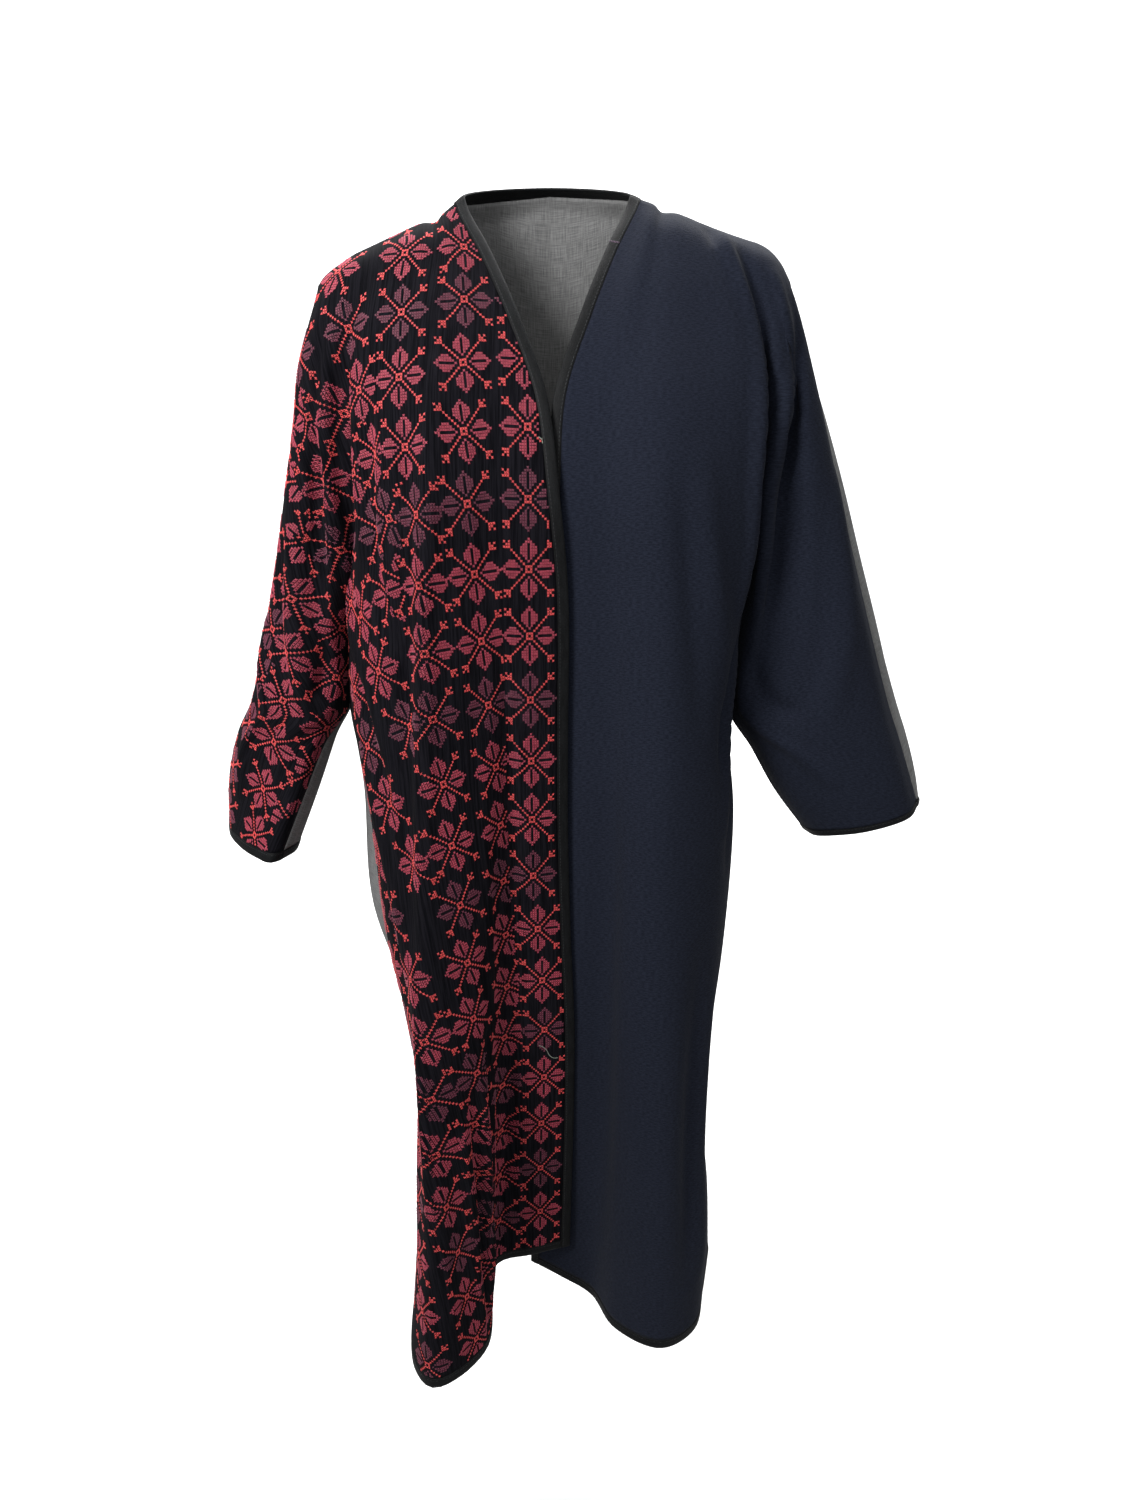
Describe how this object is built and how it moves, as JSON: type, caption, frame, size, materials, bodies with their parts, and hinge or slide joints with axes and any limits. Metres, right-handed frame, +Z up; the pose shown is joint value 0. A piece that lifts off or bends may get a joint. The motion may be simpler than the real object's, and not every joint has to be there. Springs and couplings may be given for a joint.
{
  "type": "abaya",
  "caption": "Long open-fronted robe with sleeves cut in one, one front cross-stitched, one plain, bound round neck, fronts, hem and cuffs; worn form, hollow.",
  "frame": {"origin": "midway between the neck ends of the two shoulder seams, where the wearer's shoulders carry the robe", "axes": "+Z up, -Y towards the front, +X towards the wearer's left"},
  "size_m": [0.7191, 0.3204, 1.1599],
  "materials": {
    "embroidered_cloth": "matt woven cloth with raised cross-stitch",
    "navy_cloth": "matt crepe",
    "grey_cloth": "matt slubbed linen weave",
    "binding": "folded bias strip, slight sheen"
  },
  "bodies": {
    "root": {"front_right": "embroidered_cloth", "front_left": "navy_cloth", "back": "grey_cloth", "binding_right": "binding", "binding_left": "binding", "hem_binding_right": "binding", "hem_binding_left": "binding", "hem_binding_back": "binding", "cuff_binding_right": "binding", "cuff_binding_left": "binding"}
  },
  "joints": []
}
